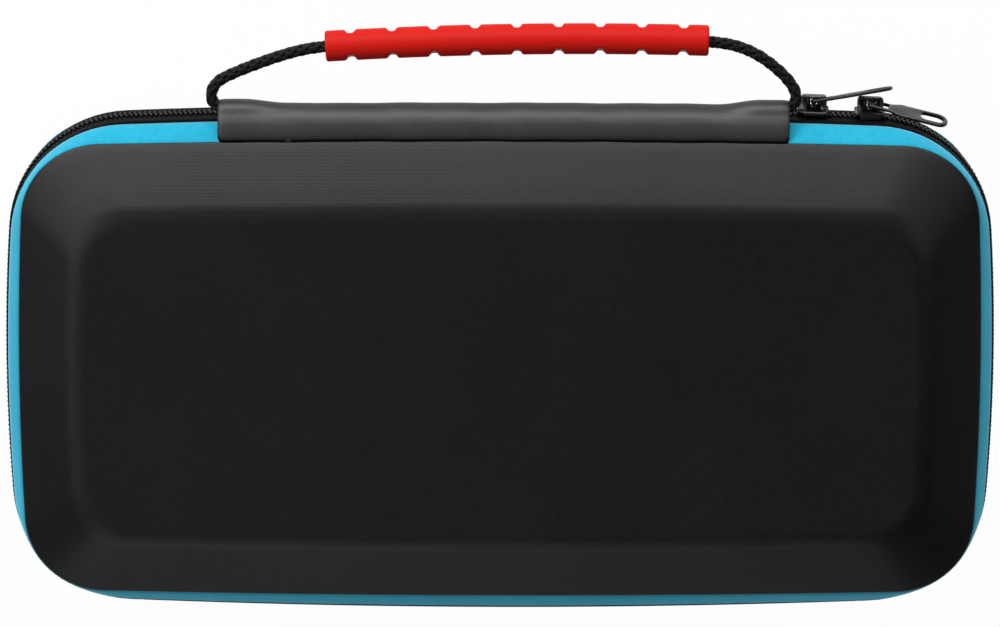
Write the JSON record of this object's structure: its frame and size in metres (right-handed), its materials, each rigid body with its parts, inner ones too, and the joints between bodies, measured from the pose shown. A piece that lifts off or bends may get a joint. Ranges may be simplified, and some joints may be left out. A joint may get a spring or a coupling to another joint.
{
  "type": "console carrying case",
  "caption": "Zipped carrying case for a handheld console, with moulded charcoal shells, a blue side band and a rope handle with a red grip on the top edge.",
  "frame": {"origin": "centre of the rear shell's flat outer face, on which the case lies", "axes": "+X along the case to the viewer's right in the picture, +Y to the edge with the handle, +Z out of the front shell"},
  "size_m": [0.2612, 0.1603, 0.045],
  "materials": {
    "shell_cloth": "fine woven polyester over moulded foam, charcoal",
    "band_cloth": "woven polyester band, bright blue",
    "zip_tape_cloth": "ribbed zip tape and spine, black",
    "zip_nylon": "nylon coil teeth, black",
    "binding_cloth": "seam tape inside, black",
    "lining_cloth": "brushed lining over foam, dark grey",
    "strap_cloth": "elastic and webbing, black",
    "net_cloth": "open net, black",
    "card_cloth": "card pockets, dark grey",
    "sleeve_cloth": "sewn webbing sleeve, charcoal",
    "rope_braid": "braided cord, black",
    "grip_plastic": "soft moulded plastic, red",
    "zip_metal": "cast zinc, black"
  },
  "bodies": {
    "base": {"rear_shell": "shell_cloth", "rear_gusset": "band_cloth", "rear_zip_tape": "zip_tape_cloth", "rear_zip_coil": "zip_nylon", "rear_binding": "binding_cloth", "spine_rear": "zip_tape_cloth", "console_tray": "lining_cloth", "strap_left": "strap_cloth", "strap_right": "strap_cloth"},
    "lid": {"front_shell": "shell_cloth", "front_gusset": "band_cloth", "front_zip_tape": "zip_tape_cloth", "front_zip_coil": "zip_nylon", "front_binding": "binding_cloth", "spine_front": "zip_tape_cloth", "handle_sleeve": "sleeve_cloth", "mesh_pocket": "net_cloth", "pocket_hem": "strap_cloth", "card_flap": "lining_cloth", "card_flap_hinge": "lining_cloth", "card_tab": "strap_cloth", "card_pocket_upper": "card_cloth", "card_pocket_lower": "card_cloth"},
    "handle": {"handle_rope": "rope_braid", "handle_grip": "grip_plastic"},
    "slider_left": {"slider_left": "zip_metal"},
    "slider_right": {"slider_right": "zip_metal"},
    "pull_left": {"pull_left": "zip_metal"},
    "pull_right": {"pull_right": "zip_metal"}
  },
  "joints": [
    {"name": "lid_hinge", "type": "hinge", "parent": "base", "child": "lid", "pos_m": [0, -0.0681, 0.0225], "axis": [1, 0, 0], "range_deg": [0, 180]},
    {"name": "handle_swing", "type": "hinge", "parent": "lid", "child": "handle", "pos_m": [0, 0.0696, 0.0302], "axis": [1, 0, 0], "range_deg": [-40, 100]},
    {"name": "slider_left_slide", "type": "slide", "parent": "base", "child": "slider_left", "axis": [0.9998, -0.0216, 0], "range_m": [-0.06, 0]},
    {"name": "slider_right_turn", "type": "hinge", "parent": "base", "child": "slider_right", "pos_m": [0.09686, 0.03362, 0.0225], "axis": [0, 0, 1], "range_deg": [-75, 0]},
    {"name": "pull_left_swing", "type": "hinge", "parent": "slider_left", "child": "pull_left", "pos_m": [0.08213, 0.0699, 0.0225], "axis": [-0.037, 0.2046, 0.9781], "range_deg": [0, 150]},
    {"name": "pull_right_swing", "type": "hinge", "parent": "slider_right", "child": "pull_right", "pos_m": [0.09695, 0.06935, 0.0225], "axis": [-0.0514, -0.2015, 0.9781], "range_deg": [0, 33]}
  ]
}
